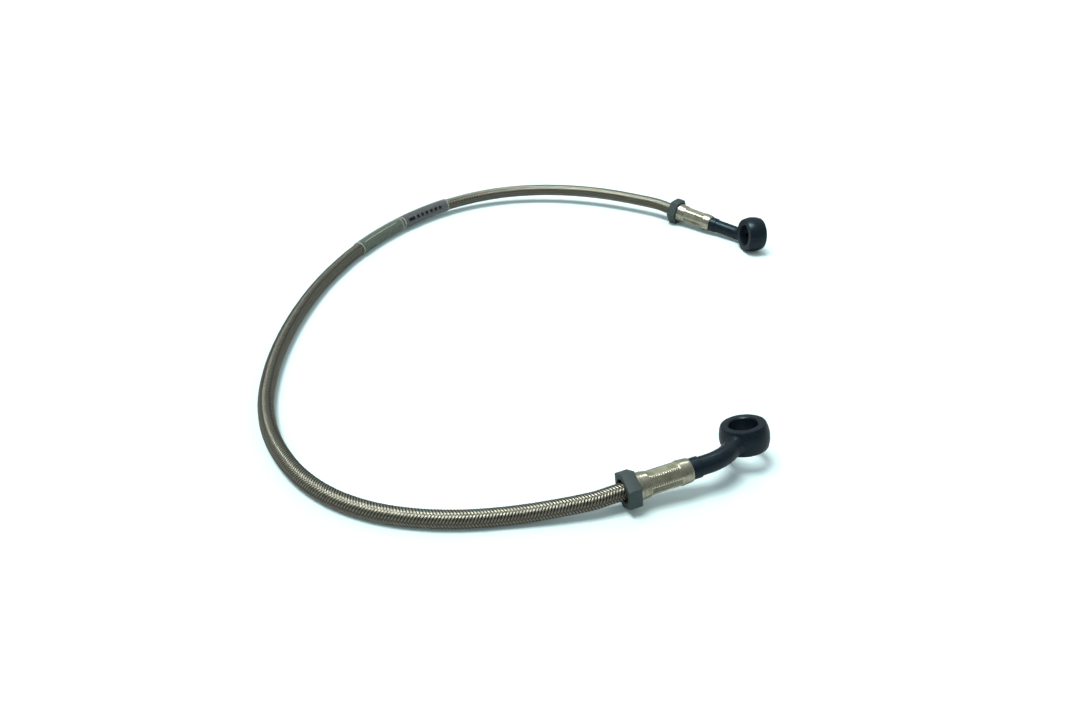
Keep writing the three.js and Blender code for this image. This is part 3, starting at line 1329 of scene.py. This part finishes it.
@dataclass
class HexCollar:
    """Moulded hexagonal collar with soft edges and a pocket for the shell."""

    end: EndLayout
    sizes: CollarSizes = field(default_factory=CollarSizes)
    around: int = 240
    sharp: float = 32.0

    def reach(self, angle: np.ndarray, inset: float) -> np.ndarray:
        """Distance of the hexagon's side from the middle.

        Args:
            angle: Angle from a corner, in radians.
            inset: How far the side is drawn in.

        Returns:
            Radius with the corners rounded.
        """
        z = self.sizes
        sixth = math.pi / 3
        off = np.abs((angle % sixth) - sixth / 2)
        flat = z.across_flats / 2 - inset
        side = flat / np.cos(off)
        corner = flat / math.cos(sixth / 2) - z.corner_cut
        return np.minimum(side, corner)

    def build(self, finish: bpy.types.Material) -> bpy.types.Object:
        """Makes the collar in its place.

        Args:
            finish: Plastic of the collar.

        Returns:
            The collar.
        """
        z = self.sizes
        half = z.length / 2
        angle = MeshMaker.circle(self.around)
        hole = z.hole / 2
        outline = [
            (-half, hole + z.hole_edge),
            (-half + z.hole_edge, hole),
            (half - z.pocket, hole),
            (half - z.pocket, z.pocket_radius),
            (half - z.pocket_edge, z.pocket_radius),
            (half, z.pocket_radius + z.pocket_edge),
        ]
        bevel = ((0.0, 1.0), (0.12, 0.55), (0.45, 0.15), (1.0, 0.0))
        for up, inset in bevel:
            outline.append((half - up * z.edge, self.reach(angle, inset * z.edge)))
        for up, inset in bevel[::-1]:
            outline.append((up * z.edge - half, self.reach(angle, inset * z.edge)))
        rings = [MeshMaker.about_x(np.full_like(angle, x), angle, r) for x, r in outline]
        collar = MeshMaker.solid(f"{self.end.name}_hex_collar", np.stack(rings), self.sharp)
        collar.data.materials.append(finish)
        turn = Matrix.Rotation(math.radians(self.end.collar_turn), 4, "X")
        return MeshMaker.place(collar, self.end.crimp_matrix() @ turn)


@dataclass
class BanjoEye:
    """Forged eye with its bent neck, shoulder, stem and barbed nipple."""

    end: EndLayout
    sizes: BanjoSizes = field(default_factory=BanjoSizes)
    ferrule: FerruleSizes = field(default_factory=FerruleSizes)
    sharp: float = 32.0

    def barrel(self) -> bpy.types.Object:
        """Eye with flat seats, rounded rims and a crowned side.

        Returns:
            The eye in its own frame.
        """
        z = self.sizes
        half, bore, seat = z.height / 2, z.bore / 2, z.seat / 2
        crown = (z.barrel - z.seat) / 2
        arc = (half * half + crown * crown) / (2 * crown)
        heights = np.linspace(-half, half, 33)
        side = seat + crown - arc + np.sqrt(arc * arc - heights**2)
        rim = 0.3
        outline = [(bore, half - z.chamfer), (bore, 0.0), (bore, z.chamfer - half)]
        outline += [(bore + z.chamfer, -half), (seat - rim, -half)]
        outline += [(seat - rim * 0.3, -half + rim * 0.12)]
        outline += [(r, h) for r, h in zip(side[1:-1], heights[1:-1])]
        outline += [(seat - rim * 0.3, half - rim * 0.12)]
        outline += [(seat - rim, half), (bore + z.chamfer, half)]
        angle = MeshMaker.circle(144)
        rings = [
            np.stack([r * np.cos(angle), r * np.sin(angle), np.full_like(angle, h)], axis=-1)
            for r, h in outline
        ]
        return MeshMaker.solid(f"{self.end.name}_banjo_eye", np.stack(rings), self.sharp)

    def axis(self, s: np.ndarray) -> tuple[np.ndarray, np.ndarray]:
        """Points and directions along the neck.

        Args:
            s: Length from the eye's centre.

        Returns:
            Points and unit directions in the eye frame.
        """
        bend, radius = math.radians(self.end.bend), self.end.bend_radius
        first, arc = self.end.before_bend - self.end.cut, radius * bend
        side, out = np.array(self.end.side()), np.array(self.end.out())
        x = np.array([1.0, 0.0, 0.0])
        turn = np.clip((s - first) / radius, 0.0, bend)[:, None]
        curved = x * (first + radius * np.sin(turn)) + side * radius * (1 - np.cos(turn))
        before = np.minimum(s - first, 0.0)[:, None] * x
        after = np.maximum(s - first - arc, 0.0)[:, None] * out
        return curved + before + after, np.cos(turn) * x + np.sin(turn) * side

    def length_at(self, crimp_x: float) -> float:
        """Length along the neck of a place given in the crimp frame.

        Args:
            crimp_x: Place along X of the crimp frame.

        Returns:
            Length from the eye's centre.
        """
        end = self.end
        arc = end.bend_radius * math.radians(end.bend)
        to_lip = end.before_bend - 2 * end.cut + arc + end.after_bend
        return to_lip + self.ferrule.end - crimp_x

    def swept(
        self, outline: list[tuple[float, float]], around: int, name: str
    ) -> bpy.types.Object:
        """Bar of changing radius along the neck.

        Args:
            outline: Length and radius of each ring.
            around: Points in each ring.
            name: Name of the object.

        Returns:
            The closed bar in the eye frame.
        """
        s, radius = (np.array(v) for v in zip(*outline))
        centre, along = self.axis(s)
        side = np.array(self.end.side())
        cross = np.cross(np.array([1.0, 0.0, 0.0]), side)
        normal = np.cross(cross, along)
        angle = MeshMaker.circle(around)
        cos, sin = np.cos(angle)[None, :, None], np.sin(angle)[None, :, None]
        rings = centre[:, None] + radius[:, None, None] * (cos * normal[:, None] + sin * cross)
        return MeshMaker.solid(name, rings, self.sharp, loop=False)

    def neck_outline(self) -> list[tuple[float, float]]:
        """Neck, shoulder, stem and nipple, from inside the eye to the tip.

        Returns:
            Length from the eye's centre and radius of each ring.
        """
        z, f = self.sizes, self.ferrule
        neck, shoulder = z.neck / 2, z.shoulder / 2
        root_end = z.barrel / 2 + z.root_length / 2
        outline = [(z.bore / 2 + 0.9, neck + z.root_swell)]
        for i in range(9):
            u = i / 8
            swell = z.root_swell * (1 - u) ** 2
            outline.append((root_end - z.root_length * (1 - u), neck + swell))
        face = self.length_at(f.end + z.seat_gap)
        top = face - z.shoulder_length
        for s in np.linspace(root_end + 0.4, top - 0.15, 48):
            outline.append((float(s), neck))
        outline += [(top, neck + 0.04), (top + 0.08, shoulder - 0.25), (top + 0.3, shoulder)]
        outline += [(face - 0.1, shoulder), (face, shoulder - 0.1), (face + 0.02, z.stem / 2)]
        stem_end = self.length_at(f.end - f.lip - z.seat_gap)
        outline.append((stem_end, z.stem / 2))
        pitch = z.nipple_length / z.barbs
        for i in range(z.barbs):
            start = stem_end + i * pitch
            outline.append((start + 0.02, z.nipple_crest))
            outline.append((start + pitch - 0.02, z.nipple_crest - z.barb_depth))
        return outline

    def build(self, finish: bpy.types.Material) -> bpy.types.Object:
        """Makes the banjo in its place.

        Args:
            finish: Plate of the forging.

        Returns:
            The banjo.
        """
        z = self.sizes
        eye = self.barrel()
        outline = self.neck_outline()
        MeshMaker.boolean(eye, self.swept(outline, 72, "neck"), "UNION")
        last = outline[-1][0] + 0.6
        way = [(float(s), z.way / 2) for s in np.linspace(z.bore / 2 - 1.2, last, 60)]
        MeshMaker.boolean(eye, self.swept(way, 24, "way"), "DIFFERENCE")
        mesh = eye.data
        MeshMaker.shade(mesh, self.sharp)
        mesh.materials.clear()
        mesh.materials.append(finish)
        return MeshMaker.place(eye, self.end.eye_matrix())


# Studio


@dataclass(frozen=True)
class Lamp:
    """Soft light: its strength, its spread in degrees and where it shines from."""

    name: str
    strength: float
    spread: float
    source: Triple


@dataclass
class Studio:
    """Camera, pale floor and soft light.

    The camera's place is in millimetres of the row frame. room_low and
    room_high are how bright the room looks in a shiny piece, near the horizon
    and overhead. floor_mirrored is the floor's colour in a shiny piece.
    """

    eye: Triple = (-101.005, -360.305, 198.0)
    look: Triple = (0.2257, 0.8306, -0.5090)
    right: Triple = (0.9679, -0.2505, 0.0203)
    focal_px: float = 950.0
    frame_px: float = 1080.0
    sensor: float = 36.0
    ambient: float = 0.56
    ambient_color: Rgb = (0.95, 0.98, 1.0)
    room_color: Rgb = (0.90, 0.96, 1.0)
    room_low: float = 0.34
    room_high: float = 0.5
    room_heights: tuple[float, float] = (0.3, 0.95)
    room_behind: Span = (-0.6, 0.6, 0.3, 1.0)
    floor_color: Rgb = (0.74, 0.94, 0.945)
    floor_mirrored: Rgb = (0.36, 0.37, 0.365)
    floor_glow: Rgb = (0.012, 0.016, 0.016)
    floor_gloss: float = 0.05
    floor_roughness: float = 0.12
    floor_half_m: float = 3.0
    floor_below_m: float = 0.00002
    key: Lamp = Lamp("key", 2.9, 28.0, (-0.28, 0.03, 1.0))
    softbox_at: Triple = (111.0, 27.0, 256.0)
    softbox_size: float = 70.0
    softbox_power: float = 0.08

    def camera(self) -> None:
        """Sets the camera at the photograph's place and angle."""
        data = bpy.data.cameras.new("camera")
        data.sensor_width = self.sensor
        data.lens = self.focal_px / self.frame_px * self.sensor
        data.clip_start, data.clip_end = 0.01, 20.0
        made = put_in_scene("camera", data)
        look = Vector(self.look).normalized()
        right = Vector(self.right)
        right = (right - look * right.dot(look)).normalized()
        up = right.cross(look)
        turn = Matrix((right, up, -look)).transposed().to_4x4()
        made.matrix_world = Matrix.Translation(Vector(self.eye) * MM) @ turn
        bpy.context.scene.camera = made

    def world(self) -> None:
        """Makes a world that is white to the eye and dimmer as a light."""
        world = bpy.data.worlds.new("studio")
        bpy.context.scene.world = world
        g = Graph(world)
        seen = g.nodes["Background"]
        light, room = g.add("ShaderNodeBackground"), g.add("ShaderNodeBackground")
        parts = g.add("ShaderNodeSeparateXYZ")
        g.feed(parts.inputs[0], g.add("ShaderNodeTexCoord").outputs["Generated"])
        height = g.remap(parts.outputs["Z"], (*self.room_heights, self.room_low, self.room_high))
        behind = g.remap(parts.outputs["Y"], self.room_behind)
        for node, color, strength in (
            (seen, (1.0, 1.0, 1.0), 1.0),
            (light, self.ambient_color, self.ambient),
            (room, self.room_color, g.math("MULTIPLY", height, behind)),
        ):
            g.feed(node.inputs["Color"], color)
            g.feed(node.inputs["Strength"], strength)
        rays = g.add("ShaderNodeLightPath")
        lit = g.mix(rays.outputs["Is Glossy Ray"], light.outputs[0], room.outputs[0])
        both = g.mix(rays.outputs["Is Camera Ray"], lit, seen.outputs[0])
        g.feed(g.nodes["World Output"].inputs["Surface"], both)

    def floor_paint(self) -> bpy.types.Material:
        """Makes the floor's material, white where lit, with a faint gloss.

        Returns:
            The material.
        """
        material = bpy.data.materials.new("floor")
        g = Graph(material)
        g.nodes.remove(g.nodes["Principled BSDF"])
        rays = g.add("ShaderNodeLightPath")
        matte, gloss = g.add("ShaderNodeBsdfDiffuse"), g.add("ShaderNodeBsdfGlossy")
        tone = g.blend(rays.outputs["Is Glossy Ray"], self.floor_color, self.floor_mirrored)
        g.feed(matte.inputs["Color"], tone)
        g.feed(gloss.inputs["Roughness"], self.floor_roughness)
        glow = g.add("ShaderNodeEmission")
        outputs = (rays.outputs["Is Camera Ray"], rays.outputs["Is Transmission Ray"])
        g.feed(glow.inputs["Color"], self.floor_glow)
        g.feed(glow.inputs["Strength"], g.math("MAXIMUM", *outputs))
        total = g.add("ShaderNodeAddShader")
        g.feed(total.inputs[0], g.mix(self.floor_gloss, matte.outputs[0], gloss.outputs[0]))
        g.feed(total.inputs[1], glow.outputs[0])
        g.feed(g.nodes["Material Output"].inputs["Surface"], total.outputs[0])
        return material

    def floor(self) -> None:
        """Makes the floor just under the object."""
        half = self.floor_half_m
        mesh = bpy.data.meshes.new("floor")
        corners = ((-half, -half), (half, -half), (half, half), (-half, half))
        mesh.from_pydata([(x, y, -self.floor_below_m) for x, y in corners], [], [[0, 1, 2, 3]])
        mesh.materials.append(self.floor_paint())
        put_in_scene("floor", mesh)

    def light(self, lamp: Lamp) -> None:
        """Makes one wide soft light.

        Args:
            lamp: What it is like.
        """
        data = bpy.data.lights.new(lamp.name, "SUN")
        data.energy = lamp.strength
        data.angle = math.radians(lamp.spread)
        made = put_in_scene(lamp.name, data)
        made.rotation_euler = Vector(lamp.source).to_track_quat("Z", "Y").to_euler()

    def softbox(self) -> None:
        """Makes the round softbox that hangs over the rear end."""
        data = bpy.data.lights.new("softbox", "AREA")
        data.shape = "DISK"
        data.size = self.softbox_size * MM
        data.energy = self.softbox_power
        made = put_in_scene("softbox", data)
        made.location = Vector(self.softbox_at) * MM

    def build(self) -> None:
        """Makes the world, the floor and the lights."""
        self.world()
        self.floor()
        self.light(self.key)
        self.softbox()
        bpy.context.scene.view_settings.view_transform = "Standard"


# The whole part


@dataclass
class BrakeHose:
    """Whole hose with its two ends.

    marked_from runs from the rear collar's centre to the marked sleeve.
    row_side is the side of the hose that angle zero faces at row_at of its
    length, so that the strands cross there as they do on the real one.
    """

    hose: HoseSizes = field(default_factory=HoseSizes)
    marked_from: float = 138.3
    marked_length: float = 33.0
    apart: float = 1.5
    clear_length: float = 35.5
    row_side: Triple = (-0.348, -0.724, 0.596)
    row_at: float = 0.9
    cord_step: int = 8

    def path(self) -> HosePath:
        """Centreline from inside one ferrule to inside the other.

        Returns:
            The hose's line, rear to front.
        """
        lead = [REAR.crimp_matrix() @ Vector((x, 0.0, 0.0)) for x in self.hose.leads]
        tail = [FRONT.crimp_matrix() @ Vector((x, 0.0, 0.0)) for x in self.hose.leads]
        control = np.vstack([lead, LOOP.points(), tail[::-1]])
        return HosePath(control, self.row_side, self.row_at)

    def declare(self, piece: bpy.types.Object, slot: str, *nodes: str) -> None:
        """Says what a piece rides on and stands for.

        Args:
            piece: The piece.
            slot: Name of its finish; not used.
            *nodes: CAD nodes that it stands for.
        """
        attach(piece, BODY)
        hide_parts(*nodes)
        LOG.info("%s stands for %s", piece.name, ", ".join(nodes))

    def build(self, nodes: dict[str, bpy.types.Object]) -> None:
        """Makes every piece.

        Args:
            nodes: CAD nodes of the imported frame.
        """
        path = self.path()
        LOG.info("hose length %.1f mm", path.length)
        braid = BraidedHose(path).build(BraidSteel().build(), ShadeBed().build())
        self.declare(braid, "braid", "steel_braid")
        self.sleeves(path)
        satin, nickel, slate = SatinBlack().build(), NickelPlate().build(), SlatePlastic().build()
        fittings = []
        for end in (REAR, FRONT):
            banjo = BanjoEye(end).build(satin)
            self.declare(banjo, "black_steel", f"{end.name}_banjo")
            shell = CrimpFerrule(end).build(nickel)
            self.declare(shell, "nickel_steel", f"{end.name}_ferrule")
            collar = HexCollar(end).build(slate)
            self.declare(collar, "slate_plastic", f"{end.name}_collar")
            fittings += [banjo, shell, collar]
        liner = nodes["hose_liner"]
        liner.data.materials.clear()
        liner.data.materials.append(WhiteLiner().build())
        line = [tuple(p * MM) for p in path.centre[:: self.cord_step]]
        line.append(tuple(path.centre[-1] * MM))

    def sleeves(self, path: HosePath) -> None:
        """Makes the two sleeves on the hose, the marked one first.

        Args:
            path: Line of the hose.
        """
        start = self.hose.hidden_end + self.marked_from
        ink = SleeveFilm(
            name="marked_film",
            film=(0.140, 0.150, 0.158),
            alpha=0.56,
            stripe=(0.004, 0.005, 0.007),
            stripe_alpha=0.98,
        )
        marked = ClearSleeve(
            name="marked_film_sleeve",
            path=path,
            start=start,
            length=self.marked_length,
            stripe=(226.0, 257.0),
            mark_pitch=3.3,
        )
        self.declare(marked.build(ink.build()), "marked_sleeve", "marked_sleeve")
        # The clear film's pale stripe is a painted highlight along the sleeve.
        highlight_film = SleeveFilm(
            name="clear_film",
            film=(0.17, 0.215, 0.17),
            alpha=0.36,
            stripe=(0.42, 0.47, 0.43),
            stripe_alpha=0.62,
        )
        clear = ClearSleeve(
            name="clear_film_sleeve",
            path=path,
            start=start + self.marked_length + self.apart,
            length=self.clear_length,
            stripe=(273.0, 282.0),
        )
        self.declare(clear.build(highlight_film.build()), "clear_sleeve", "clear_sleeve")


def main() -> None:
    """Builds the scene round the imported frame."""
    logging.basicConfig(level=logging.INFO, format="%(message)s")
    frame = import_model()
    studio = Studio()
    studio.camera()
    BrakeHose().build(frame["nodes"])
    studio.build()


if __name__ == "__main__":
    main()
